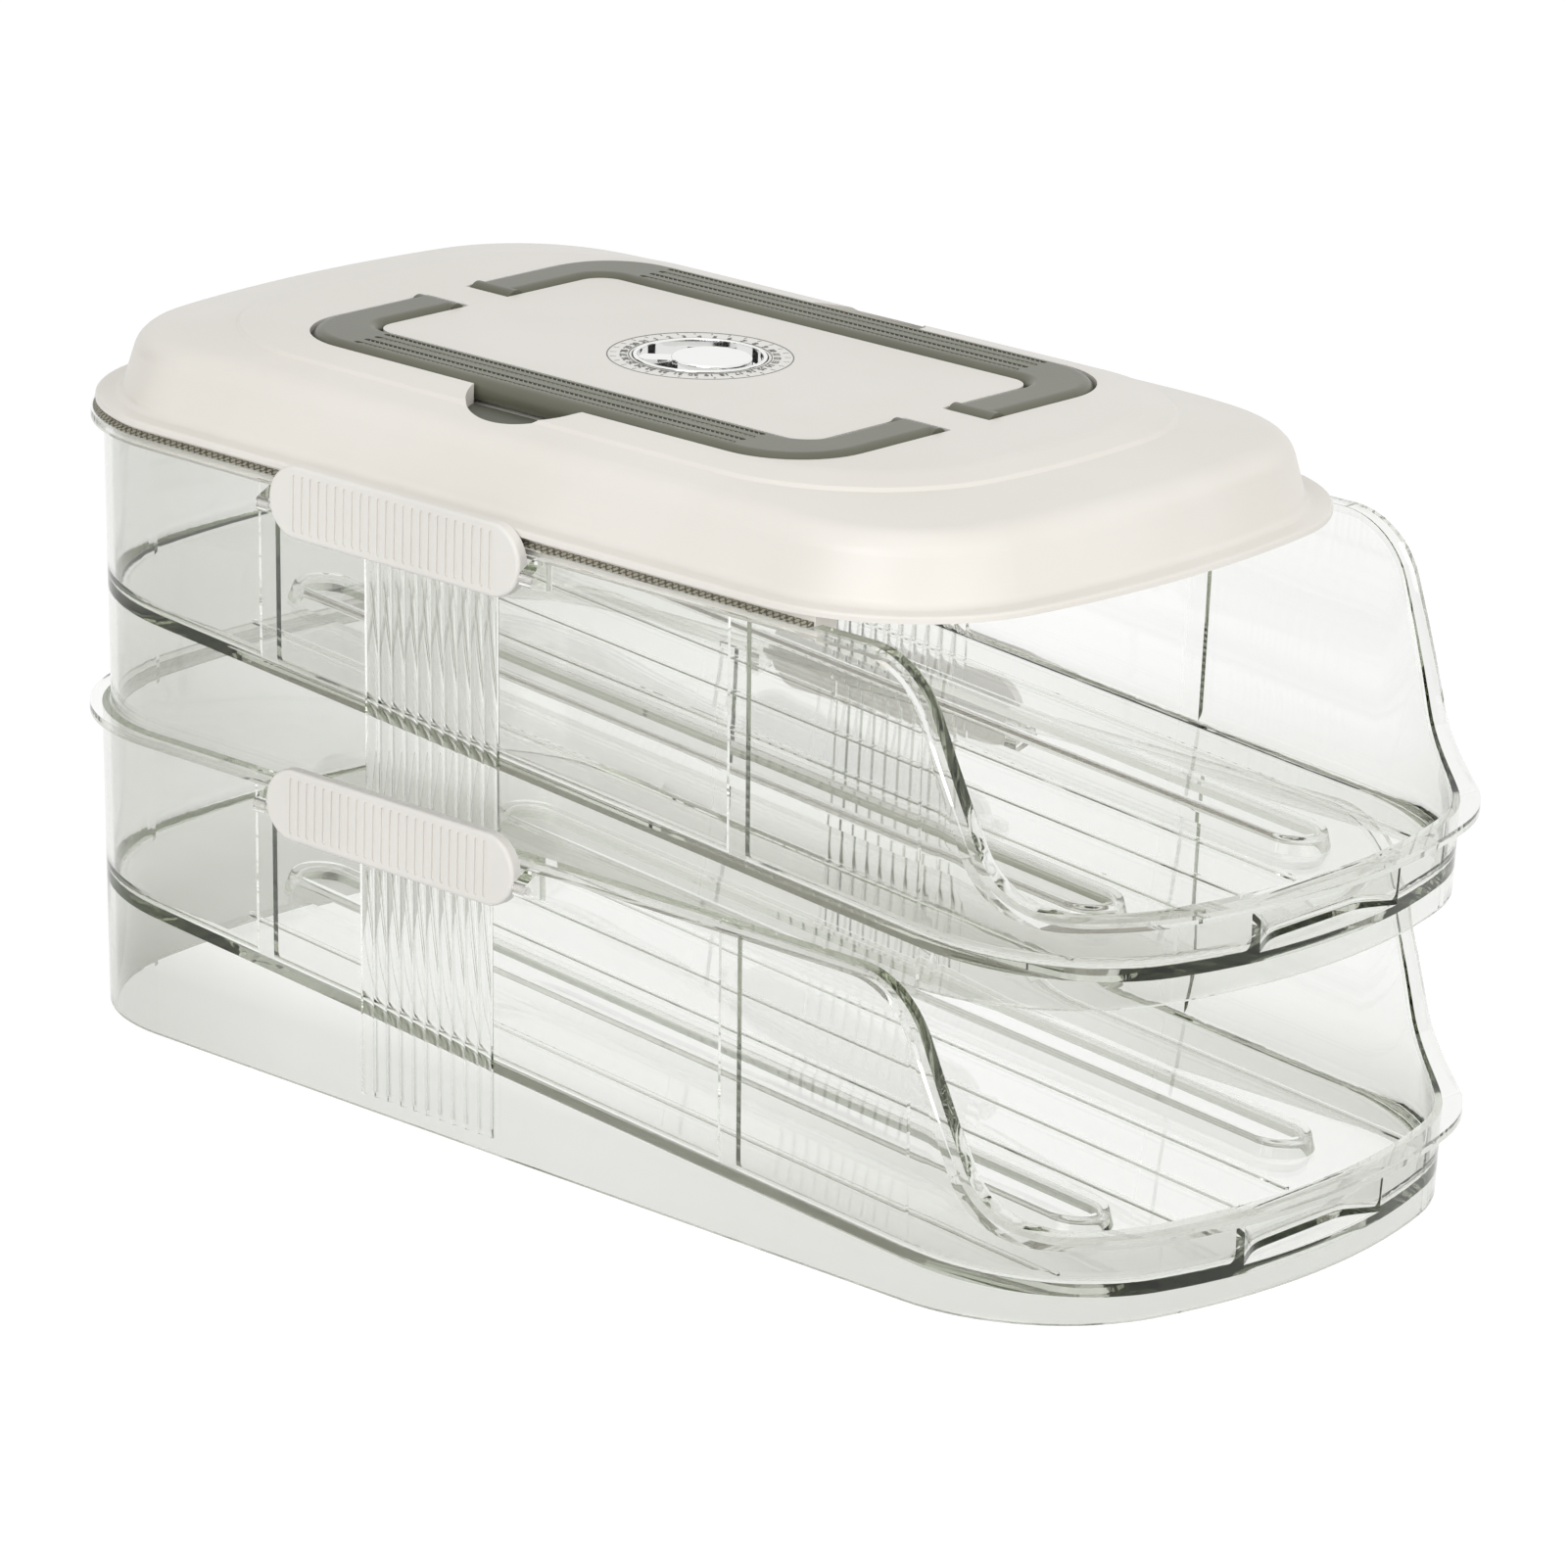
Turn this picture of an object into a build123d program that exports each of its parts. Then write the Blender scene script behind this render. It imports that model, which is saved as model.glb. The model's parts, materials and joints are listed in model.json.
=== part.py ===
from build123d import *
from math import tan, radians, cos, sin
import os

# Rolling egg dispenser: two clear stacking trays with sloped floors, a cream lid
# with two folding bail handles and a date dial, and four side clips.
# Millimetres. +Z is up, the low egg mouth faces -Y, the left side is -X.
# The origin is under the middle of the whole object, on the surface it stands on.

# Trays: overall plan at the rim
rim_half_width = 94.0
rim_front_reach = 190.2
rim_rear_reach = 189.5
rim_front_corner = 57.0
rim_rear_corner = 51.0
rim_front_bow = 187.0
rim_rear_bow = 330.0

# Trays: heights, walls and floor
tray_pitch = 80.0
nest_depth = 3.2
tray_wall = 2.0
wall_draft = 1.7
base_inset = 5.7
floor_thickness = 2.2
floor_height_mid = 20.8
floor_slope = 4.77
floor_edge_radius = 4.0
rim_thickness = 2.4
rim_edge_radius = 0.8

# Trays: the mouth, where the rim sweeps down to the front lip
mouth_shoulder_y = -127.6
mouth_foot_y = -151.5
lip_height = 23.7
shoulder_radius = 23.4
foot_radius = 22.8

# Trays: finger recess in the front wall, between the floor and the lip
recess_width = 34.0
recess_depth = 6.5
recess_slope_width = 13.0
recess_bend = 16.0
recess_bottom = 8.5
recess_slope_foot = 12.0
recess_slope_top = 20.5

# Trays: floor dividers, hollow underneath, and runner beads
divider_x = 39.5
divider_width = 21.0
divider_height = 4.5
divider_front_y = -150.0
divider_rear_y = 133.0
divider_taper = 18.0
divider_edge_radius = 1.5
bead_width = 1.6
bead_height = 0.8
bead_front_y = -160.0
bead_rear_y = 120.0
bead_places = (-68.5, -19.5, 0.0, 19.5, 68.5)

# Trays: inner stacking ribs, whose tops carry the tray above, and the fluted panels
rib_width = 6.2
rib_depth = 1.6
rib_places = (94.2, -68.4)
panel_center_y = 34.0
panel_length = 46.5
panel_proud = 0.8
panel_bottom = 4.5
flute_count = 10

# Clips and their pivots
clip_center_y = 40.7
clip_length = 88.0
clip_height = 19.0
clip_thickness = 3.2
clip_bottom = 70.0
clip_clearance = 0.4
clip_edge_radius = 1.0
clip_rib_pitch = 3.0
clip_rib_groove = 1.3
clip_rib_depth = 0.45
clip_pivot_z = 76.6
clip_pivot_depth = 1.6
clip_pin_diameter = 1.8
clip_pin_grip = 6.0
ear_length = 4.0
ear_tip = 1.6
ear_gap = 0.3
ear_root_drop = 2.5
ear_corner = 1.2

# Lid
lid_front_y = -133.8
lid_overhang = 0.7
lid_rear_inset = 2.5
lid_wall = 2.4
lid_lift = 2.8
lid_seat_inset = 2.7
lid_seat_front_y = -95.0
lid_flange_thickness = 1.8
lid_flange_radius = 0.8
lid_shoulder_inset = 6.5
lid_shoulder_height = 16.8
lid_shoulder_taper = 16.5
lid_shoulder_radius = 8.0
lid_foot_radius = 2.5
lid_plug_depth = 2.6
lid_plug_wall = 1.6
lid_plug_clearance = 0.4
crown_height = 3.0
field_side_inset = 21.2
field_end_inset = 35.5
field_corner = 52.0
field_bow = 250.0
field_step = 0.9
field_step_taper = 50.0
deck_inset = 9.5
deck_rise = 1.7
deck_edge_radius = 15.0

# Handles: two bails that lie flat in channels of the lid
bail_side_inset = 11.0
bail_bar_width = 18.7
bail_half_length = 90.5
bail_leg_width = 14.0
bail_leg_end_x = 7.9
bail_thickness = 6.4
bail_proud = 1.0
bail_outer_corner = 22.0
bail_inner_corner = 8.0
bail_edge_radius = 3.0
bail_groove_count = 4
bail_groove_pitch = 3.6
bail_groove_depth = 0.7
bail_groove_width = 1.5
bail_groove_length = 132.0
channel_clearance = 0.8
channel_floor_gap = 0.3
channel_wall = 2.4
handle_pin_diameter = 3.0
handle_pin_reach = 2.1
notch_half_width = 19.0
notch_depth = 14.5
notch_drop = 5.5

# Date dial
dial_plate_radius = 24.0
dial_plate_thickness = 1.0
dial_tick_count = 31
dial_tick_length = 1.6
dial_tick_width = 0.5
dial_tick_depth = 0.3
dial_tick_inset = 0.8
dial_ring_radius = 17.3
dial_ring_wall = 1.2
dial_ring_height = 2.9
dial_ring_proud = 0.4
dial_ring_floor = 0.7
dial_ring_edge_radius = 0.4
dial_cap_radius = 10.5
dial_cap_shift = 3.0
dial_cap_height = 1.8
dial_cap_edge_radius = 0.6
dial_pointer_width = 6.0
dial_pointer_height = 1.1
dial_pointer_turn = 130.0
dial_axle_radius = 3.0
dial_axle_grip = 0.7
dial_head_radius = 5.5
dial_head_thickness = 1.6
dial_boss_wall = 2.6
dial_boss_depth = 3.2

# Fits: running gap of a pin in its bore, and the gap between parts that only rest near
running_gap = 0.05
seat_gap = 0.3

# How far cutting tools reach past the material
outside = 20.0

# Worked-out heights and places
tray_height = tray_pitch + nest_depth
draft_lean = tan(radians(wall_draft))
recess_fall = (recess_slope_top - recess_slope_foot) / recess_depth
lid_seat = tray_pitch + tray_height
lid_half_width = rim_half_width + lid_overhang
lid_center_y = (lid_front_y + rim_rear_reach + lid_overhang) / 2
lid_half_length = lid_center_y - lid_front_y
lid_rear_y = rim_rear_reach - lid_rear_inset
lid_corner = rim_rear_corner
lid_bow = rim_rear_bow
field_half_width = lid_half_width - field_side_inset
field_half_length = lid_half_length - field_end_inset
bail_outer_x = field_half_width - bail_side_inset
bail_inner_x = bail_outer_x - bail_bar_width
flange_bottom = lid_seat + lid_lift
flange_top = flange_bottom + lid_flange_thickness
shoulder_top = flange_top + lid_shoulder_height
shoulder_lean = tan(radians(lid_shoulder_taper))
crown_top = shoulder_top + crown_height
field_top = crown_top + field_step
deck_top = field_top + deck_rise
clip_inner_x = lid_half_width + clip_clearance
clip_outer_x = clip_inner_x + clip_thickness
clip_middle_z = clip_bottom + clip_height / 2
clip_pivot_x = clip_inner_x + clip_pivot_depth
bail_top = deck_top + bail_proud
bail_bottom = bail_top - bail_thickness
bail_radius = bail_thickness / 2
bail_pivot_x = bail_leg_end_x + bail_radius
bail_pivot_z = bail_bottom + bail_radius
bail_bar_middle = (bail_inner_x + bail_outer_x) / 2
leg_middle = bail_half_length - bail_leg_width / 2
channel_floor = bail_bottom - channel_floor_gap
dial_well_radius = dial_ring_radius + seat_gap
dial_well_depth = dial_ring_height - dial_ring_proud + seat_gap

os.makedirs("parts", exist_ok=True)


def plan_face(half_width, front_y, rear_y, front_corner, rear_corner, front_bow, rear_bow):
    """Rounded plan: straight sides, bowed ends, filleted corners."""
    front_sag = front_bow - (front_bow**2 - half_width**2) ** 0.5
    rear_sag = rear_bow - (rear_bow**2 - half_width**2) ** 0.5
    front_left = (-half_width, front_y + front_sag)
    front_right = (half_width, front_y + front_sag)
    rear_left = (-half_width, rear_y - rear_sag)
    rear_right = (half_width, rear_y - rear_sag)
    with BuildSketch() as plan:
        with BuildLine():
            Line(rear_left, front_left)
            ThreePointArc(front_left, (0, front_y), front_right)
            Line(front_right, rear_right)
            ThreePointArc(rear_right, (0, rear_y), rear_left)
        make_face()
        fillet(plan.vertices().group_by(Axis.Y)[0], front_corner)
        fillet(plan.vertices().group_by(Axis.Y)[-1], rear_corner)
    return plan.sketch


def tray_plan(inset):
    """Tray plan at a given inset from the rim's outer edge."""
    return plan_face(
        rim_half_width - inset,
        -rim_front_reach + inset,
        rim_rear_reach - inset,
        rim_front_corner - inset,
        rim_rear_corner - inset,
        rim_front_bow - inset,
        rim_rear_bow - inset,
    )


def lid_plan(inset):
    """Lid plan at a given inset from the flange's outer edge."""
    return plan_face(
        lid_half_width - inset,
        lid_front_y + inset,
        lid_rear_y - inset,
        lid_corner - inset,
        lid_corner - inset,
        lid_bow - inset,
        lid_bow - inset,
    )


def field_plan(inset):
    """Plan of the raised centre field of the lid."""
    return plan_face(
        field_half_width - inset,
        lid_center_y - field_half_length + inset,
        lid_center_y + field_half_length - inset,
        field_corner - inset,
        field_corner - inset,
        field_bow - inset,
        field_bow - inset,
    )


# Side profile of the rim, from the level top through the mouth to the front lip
mouth_run = mouth_shoulder_y - mouth_foot_y
mouth_fall = tray_height - lip_height
mouth_slant = (mouth_fall**2 + mouth_run**2) ** 0.5
mouth_half_turn = (mouth_slant - mouth_run) / mouth_fall


def rim_profile(drop):
    """Rim line in side view, lowered square to itself by drop."""
    shift = drop * mouth_half_turn
    return FilletPolyline(
        (rim_rear_reach + outside, tray_height - drop),
        (mouth_shoulder_y + shift, tray_height - drop),
        (mouth_foot_y + shift, lip_height - drop),
        (-rim_front_reach - outside, lip_height - drop),
        radius=[shoulder_radius - drop, foot_radius + drop],
    )


def floor_plane(above):
    """Sloped floor plane, above the floor's underside by a given distance."""
    tilt = Vector(0, -sin(radians(floor_slope)), cos(radians(floor_slope)))
    return Plane(origin=(0, 0, floor_height_mid + above), x_dir=(1, 0, 0), z_dir=tilt)


def drafted_solid(inset, start_z, top_z):
    """Tray plan, at an inset given at the base, drawn up with the wall draft."""
    with BuildPart() as solid:
        with BuildSketch(Plane.XY.offset(start_z)):
            add(tray_plan(inset - start_z * draft_lean))
        extrude(amount=top_z - start_z, taper=-wall_draft)
    return solid.part


def recess_tool(growth, bottom_z):
    """Finger recess of the front wall, a scoop that slopes in under the lip, grown by a distance."""
    inner_half = recess_width / 2 + growth
    outer_half = inner_half + recess_slope_width
    wall_y = -rim_front_reach + base_inset
    outer_y = wall_y - outside
    inner_y = wall_y + recess_depth + growth
    slope_y = wall_y + growth
    slope_lift = growth * (1 + recess_fall**2) ** 0.5
    with BuildPart() as tool:
        with BuildSketch(Plane.XY.offset(bottom_z)) as outline:
            with BuildLine():
                Polyline(
                    (-outer_half, outer_y),
                    (-outer_half, slope_y),
                    (-inner_half, inner_y),
                    (inner_half, inner_y),
                    (outer_half, slope_y),
                    (outer_half, outer_y),
                    close=True,
                )
            make_face()
            fillet(outline.vertices().group_by(Axis.Y)[-1], recess_bend)
        extrude(amount=lip_height - bottom_z)
        with BuildSketch(Plane.YZ):
            with BuildLine():
                Polyline(
                    (outer_y, bottom_z),
                    (inner_y, bottom_z),
                    (inner_y, recess_slope_foot - growth * recess_fall + slope_lift),
                    (wall_y, recess_slope_top + slope_lift),
                    (outer_y, recess_slope_top + slope_lift),
                    close=True,
                )
            make_face()
        extrude(amount=outer_half, both=True, mode=Mode.INTERSECT)
    return tool.part


def divider_solid(shrink, below, rise):
    """The two round-ended dividers on the sloped floor, between two levels above it."""
    length = divider_rear_y - divider_front_y - 2 * shrink
    middle = (divider_rear_y + divider_front_y) / 2
    with BuildPart() as dividers:
        with BuildSketch(floor_plane(floor_thickness + below)):
            with Locations((-divider_x, middle), (divider_x, middle)):
                SlotOverall(length, divider_width - 2 * shrink, rotation=90)
        extrude(amount=rise - below, taper=divider_taper)
        top_edges = dividers.faces().filter_by(floor_plane(0)).sort_by(Axis.Z)[-2:].edges()
        fillet(top_edges, divider_edge_radius)
    return dividers.part


# Trays: everything above the rim line
with BuildPart() as above_rim:
    with BuildSketch(Plane.YZ):
        with BuildLine():
            rim_line = rim_profile(0)
            Polyline(
                rim_line @ 0,
                (rim_rear_reach + outside, tray_height + outside),
                (-rim_front_reach - outside, tray_height + outside),
                rim_line @ 1,
            )
        make_face()
    extrude(amount=rim_half_width + outside, both=True)

# Trays: rim flange, a band of even thickness under the rim line
with BuildPart() as rim_flange:
    with BuildSketch():
        add(tray_plan(0))
    extrude(amount=tray_height)
    with BuildSketch(Plane.YZ):
        with BuildLine():
            band_top = rim_profile(0)
            band_under = rim_profile(rim_thickness)
            Line(band_top @ 0, band_under @ 0)
            Line(band_top @ 1, band_under @ 1)
        make_face()
    extrude(amount=rim_half_width + outside, both=True, mode=Mode.INTERSECT)

# Trays: room for the eggs above the sloped floor
inner_inset = base_inset + tray_wall
with BuildPart() as egg_space:
    add(drafted_solid(inner_inset, 0, tray_height + outside))
    split(bisect_by=floor_plane(floor_thickness), keep=Keep.TOP)
    add(recess_tool(tray_wall, -outside), mode=Mode.SUBTRACT)
    floor_face = egg_space.faces().filter_by(floor_plane(0)).sort_by(SortBy.AREA)[-1]
    fillet(floor_face.edges(), floor_edge_radius)

# Trays: hollow under the floor, inside the skirt that the tray stands on
with BuildPart() as foot_space:
    add(drafted_solid(inner_inset, -outside, tray_height))
    split(bisect_by=floor_plane(0), keep=Keep.BOTTOM)

# Trays: stacking ribs inside the side walls
with BuildPart() as stacking_ribs:
    for place in rib_places:
        with BuildSketch(Plane.XZ.offset(-place)):
            with Locations((0, tray_pitch / 2)):
                Rectangle(2 * rim_half_width, tray_pitch)
        extrude(amount=rib_width / 2, both=True)
    add(drafted_solid(inner_inset + rib_depth, -outside, tray_height), mode=Mode.SUBTRACT)
    add(drafted_solid(inner_inset - tray_wall / 2, -outside, tray_height), mode=Mode.INTERSECT)
    split(bisect_by=floor_plane(floor_thickness / 2), keep=Keep.TOP)

# Trays: scalloped panel on each side, under the clip
wall_x = rim_half_width - base_inset
flute_pitch = panel_length / flute_count
flute_radius = ((flute_pitch / 2) ** 2 + panel_proud**2) / (2 * panel_proud)
lean_right = Vector(draft_lean, 0, 1)
with BuildPart() as panel_right:
    with BuildSketch(Plane.XY.offset(panel_bottom)):
        with Locations((wall_x + panel_bottom * draft_lean, panel_center_y)):
            Rectangle(2 * panel_proud, panel_length)
    extrude(amount=tray_height - rim_thickness - panel_bottom, dir=lean_right)
    with BuildSketch(Plane.XY):
        flute_x = wall_x + flute_radius
        with Locations((flute_x, panel_center_y)):
            with GridLocations(0, flute_pitch, 1, flute_count):
                Circle(flute_radius)
    extrude(amount=tray_height, dir=lean_right, mode=Mode.SUBTRACT)

# Trays: pivot ears for the clips, one past each end of a clip
clip_front_y = clip_center_y - clip_length / 2
clip_rear_y = clip_center_y + clip_length / 2
ear_middles = (
    clip_front_y - ear_gap - ear_length / 2,
    clip_rear_y + ear_gap + ear_length / 2,
)
ear_wall_x = wall_x + clip_pivot_z * draft_lean - tray_wall / 2
with BuildPart() as ears_right:
    for ear_y in ear_middles:
        with BuildSketch(Plane.XZ.offset(-ear_y)) as ear_outline:
            with BuildLine():
                Polyline(
                    (ear_wall_x, tray_height - rim_thickness),
                    (rim_half_width - rim_edge_radius, tray_height - rim_thickness),
                    (clip_pivot_x + ear_tip, clip_pivot_z + ear_tip),
                    (clip_pivot_x + ear_tip, clip_pivot_z - ear_tip),
                    (ear_wall_x, clip_pivot_z - ear_tip - ear_root_drop),
                    close=True,
                )
            make_face()
            fillet(ear_outline.vertices().group_by(Axis.X)[-1], ear_corner)
            with Locations((clip_pivot_x, clip_pivot_z)):
                Circle(clip_pin_diameter / 2, mode=Mode.SUBTRACT)
        extrude(amount=ear_length / 2, both=True)

# Lower tray
with BuildPart() as lower_tray:
    add(drafted_solid(base_inset, 0, tray_height))
    add(above_rim.part, mode=Mode.SUBTRACT)
    add(rim_flange.part)
    add(egg_space.part, mode=Mode.SUBTRACT)
    add(foot_space.part, mode=Mode.SUBTRACT)
    add(recess_tool(0, recess_bottom), mode=Mode.SUBTRACT)
    add(divider_solid(0, -floor_thickness / 2, divider_height))
    pocket_wall = tray_wall / cos(radians(divider_taper))
    add(
        divider_solid(pocket_wall, -floor_thickness - seat_gap, divider_height - tray_wall),
        mode=Mode.SUBTRACT,
    )
    with BuildSketch(floor_plane(floor_thickness / 2)):
        for bead_x in bead_places:
            with Locations((bead_x, (bead_front_y + bead_rear_y) / 2)):
                SlotOverall(bead_rear_y - bead_front_y, bead_width, rotation=90)
    extrude(amount=floor_thickness / 2 + bead_height)
    add(stacking_ribs.part)
    add(panel_right.part)
    mirror(panel_right.part, about=Plane.YZ)
    add(ears_right.part)
    mirror(ears_right.part, about=Plane.YZ)
lower_tray.part.label = "lower_tray"
export_step(lower_tray.part, "parts/lower_tray.step")

# Upper tray: the same moulding, one pitch higher
with BuildPart() as upper_tray:
    add(lower_tray.part.moved(Location((0, 0, tray_pitch))))
upper_tray.part.label = "upper_tray"
export_step(upper_tray.part, "parts/upper_tray.step")


def bail_plan(growth, leg_end_x):
    """Plan of the right bail: a long bar and two legs that point to the middle."""
    outer_x = bail_outer_x + growth
    inner_x = bail_inner_x - growth
    outer_y = bail_half_length + growth
    inner_y = bail_half_length - bail_leg_width - growth
    with BuildSketch() as plan:
        with BuildLine():
            Polyline(
                (leg_end_x, lid_center_y + outer_y),
                (outer_x, lid_center_y + outer_y),
                (outer_x, lid_center_y - outer_y),
                (leg_end_x, lid_center_y - outer_y),
                (leg_end_x, lid_center_y - inner_y),
                (inner_x, lid_center_y - inner_y),
                (inner_x, lid_center_y + inner_y),
                (leg_end_x, lid_center_y + inner_y),
                close=True,
            )
        make_face()
        fillet(plan.vertices().group_by(Axis.X)[1], bail_inner_corner - growth)
        fillet(plan.vertices().group_by(Axis.X)[-1], bail_outer_corner + growth)
    return plan.sketch


def notch_plan(growth):
    """Half-moon finger notch beside the right bail's bar."""
    arc_radius = (notch_half_width**2 + notch_depth**2) / (2 * notch_depth)
    arc_center_x = bail_outer_x + notch_depth - arc_radius
    with BuildSketch() as plan:
        with Locations((arc_center_x, lid_center_y)):
            Circle(arc_radius + growth)
        with Locations((bail_bar_middle - arc_radius, lid_center_y)):
            Rectangle(2 * arc_radius, 4 * arc_radius, mode=Mode.SUBTRACT)
    return plan.sketch


def channel_solid(growth):
    """Channels of both bails and their finger notches, grown outwards and downwards."""
    channel = bail_plan(channel_clearance + growth, bail_leg_end_x - channel_clearance - growth)
    notch = notch_plan(growth)
    with BuildPart() as channels:
        with BuildSketch(Plane.XY.offset(channel_floor - growth)):
            add(channel)
            mirror(channel, about=Plane.YZ)
        extrude(amount=deck_top - channel_floor + growth + outside)
        with BuildSketch(Plane.XY.offset(deck_top - notch_drop - growth)):
            add(notch)
            mirror(notch, about=Plane.YZ)
        extrude(amount=notch_drop + growth + outside)
    return channels.part


# Lid: outer form, from the plug ring up through flange, shoulder and crown to the raised field
rim_inner_inset = inner_inset - tray_height * draft_lean
plug_inset = lid_half_width - rim_half_width + rim_inner_inset + lid_plug_clearance
crease_inset = lid_shoulder_inset + lid_shoulder_height * shoulder_lean
with BuildPart() as lid_outside:
    with BuildSketch(Plane.XY.offset(flange_bottom)):
        add(lid_plan(0))
    extrude(amount=lid_flange_thickness)
    with BuildSketch(Plane.XY.offset(flange_top)):
        add(lid_plan(lid_shoulder_inset))
    extrude(amount=lid_shoulder_height, taper=lid_shoulder_taper)
    with BuildSketch(Plane.XY.offset(shoulder_top)):
        add(lid_plan(crease_inset))
    with BuildSketch(Plane.XY.offset(crown_top)):
        add(field_plan(0))
    loft(ruled=True)
    crease = lid_outside.edges().filter_by(
        lambda edge: abs(edge.center().Z - shoulder_top) < seat_gap
    )
    fillet(crease, lid_shoulder_radius)
    ledge = lid_outside.faces().filter_by(Axis.Z).group_by(Axis.Z)[1][0]
    fillet(ledge.inner_wires()[0].edges(), lid_foot_radius)
    ledge = lid_outside.faces().filter_by(Axis.Z).group_by(Axis.Z)[1][0]
    fillet(ledge.outer_wire().edges(), lid_flange_radius)
    with BuildSketch(Plane.XY.offset(crown_top)):
        add(field_plan(0))
    extrude(amount=field_step, taper=field_step_taper)
    field_rim = field_step * tan(radians(field_step_taper))
    with BuildSketch(Plane.XY.offset(field_top)):
        add(field_plan(field_rim))
    with BuildSketch(Plane.XY.offset(deck_top)):
        add(field_plan(deck_inset))
    loft(ruled=True)
    fillet(lid_outside.faces().sort_by(Axis.Z)[-1].edges(), deck_edge_radius)

# Lid: seat ring that rests on the rim and plug ring inside it, both left out over the mouth
with BuildPart() as lid_rings:
    with BuildSketch(Plane.XY.offset(lid_seat)):
        add(tray_plan(lid_seat_inset))
    extrude(amount=lid_lift)
    with BuildSketch(Plane.XY.offset(lid_seat)):
        add(tray_plan(rim_inner_inset + lid_plug_clearance))
    extrude(amount=-lid_plug_depth)
    split(bisect_by=Plane.XZ.offset(-lid_seat_front_y), keep=Keep.BOTTOM)

# Lid: inner form, one wall inside the outer one, kept clear of the channels
skin_inset = plug_inset + lid_plug_wall
shoulder_skin_inset = lid_shoulder_inset + lid_wall / cos(radians(lid_shoulder_taper))
skin_turn_z = flange_top + (skin_inset - shoulder_skin_inset) / shoulder_lean
skin_top = shoulder_top - lid_wall
skin_top_inset = skin_inset + (skin_top - skin_turn_z) * shoulder_lean
with BuildPart() as lid_inside:
    with BuildSketch(Plane.XY.offset(lid_seat - lid_plug_depth)):
        add(lid_plan(skin_inset))
    extrude(amount=skin_turn_z - lid_seat + lid_plug_depth)
    with BuildSketch(Plane.XY.offset(skin_turn_z)):
        add(lid_plan(skin_inset))
    extrude(amount=skin_top - skin_turn_z, taper=lid_shoulder_taper)
    with BuildSketch(Plane.XY.offset(skin_top)):
        add(lid_plan(skin_top_inset))
    with BuildSketch(Plane.XY.offset(crown_top - lid_wall)):
        add(field_plan(lid_wall))
    loft(ruled=True)
    with BuildSketch(Plane.XY.offset(crown_top - lid_wall)):
        add(field_plan(lid_wall))
    with BuildSketch(Plane.XY.offset(deck_top - lid_wall)):
        add(field_plan(deck_inset + lid_wall))
    loft(ruled=True)
    add(channel_solid(channel_wall), mode=Mode.SUBTRACT)
    with BuildSketch(Plane.XY.offset(deck_top - lid_wall)):
        with Locations((0, lid_center_y)):
            Circle(dial_well_radius + dial_boss_wall)
    extrude(amount=-dial_boss_depth, mode=Mode.SUBTRACT)

# Lid: one shell, with the bores for the handle pins and the dial's seat and well
pin_length = bail_leg_width + 2 * handle_pin_reach
with BuildPart() as lid:
    add(lid_outside.part)
    add(lid_rings.part)
    add(lid_inside.part, mode=Mode.SUBTRACT)
    add(channel_solid(0), mode=Mode.SUBTRACT)
    for leg_y in (lid_center_y - leg_middle, lid_center_y + leg_middle):
        with BuildSketch(Plane.XZ.offset(-leg_y)):
            with Locations((-bail_pivot_x, bail_pivot_z), (bail_pivot_x, bail_pivot_z)):
                Circle(handle_pin_diameter / 2 + running_gap)
        extrude(amount=pin_length / 2 + running_gap, both=True, mode=Mode.SUBTRACT)
    with BuildSketch(Plane.XY.offset(deck_top)):
        with Locations((0, lid_center_y)):
            Circle(dial_plate_radius + running_gap)
    extrude(amount=-dial_plate_thickness, mode=Mode.SUBTRACT)
    with BuildSketch(Plane.XY.offset(deck_top)):
        with Locations((0, lid_center_y)):
            Circle(dial_well_radius)
    extrude(amount=-dial_well_depth, mode=Mode.SUBTRACT)
    with BuildSketch(Plane.XY.offset(deck_top)):
        with Locations((0, lid_center_y)):
            Circle(dial_axle_radius + running_gap)
    extrude(amount=-lid_wall - dial_boss_depth - outside, mode=Mode.SUBTRACT)
lid.part.label = "lid"
export_step(lid.part, "parts/lid.step")

# Handle on the right: flat bail with a rounded hub at each leg end and a grooved bar
with BuildPart() as handle_right:
    with BuildSketch(Plane.XY.offset(bail_bottom)):
        add(bail_plan(0, bail_pivot_x))
    extrude(amount=bail_thickness)
    long_edges = handle_right.faces().filter_by(Axis.Z).edges()
    fillet(long_edges.filter_by(lambda edge: edge.center().X > bail_pivot_x + seat_gap), bail_edge_radius)
    for leg_y in (lid_center_y - leg_middle, lid_center_y + leg_middle):
        with BuildSketch(Plane.XZ.offset(-leg_y)):
            with Locations((bail_pivot_x, bail_pivot_z)):
                Circle(bail_radius)
        extrude(amount=bail_leg_width / 2, both=True)
        with BuildSketch(Plane.XZ.offset(-leg_y)):
            with Locations((bail_pivot_x, bail_pivot_z)):
                Circle(handle_pin_diameter / 2)
        extrude(amount=bail_leg_width / 2, both=True, mode=Mode.SUBTRACT)
    with BuildSketch(Plane.XY.offset(bail_top)):
        with Locations((bail_bar_middle, lid_center_y)):
            with GridLocations(bail_groove_pitch, 0, bail_groove_count, 1):
                SlotOverall(bail_groove_length, bail_groove_width, rotation=90)
    extrude(amount=-bail_groove_depth, mode=Mode.SUBTRACT)
handle_right.part.label = "handle_right"
export_step(handle_right.part, "parts/handle_right.step")

# Handle on the left: the mirror image
with BuildPart() as handle_left:
    mirror(handle_right.part, about=Plane.YZ)
handle_left.part.label = "handle_left"
export_step(handle_left.part, "parts/handle_left.step")

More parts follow.
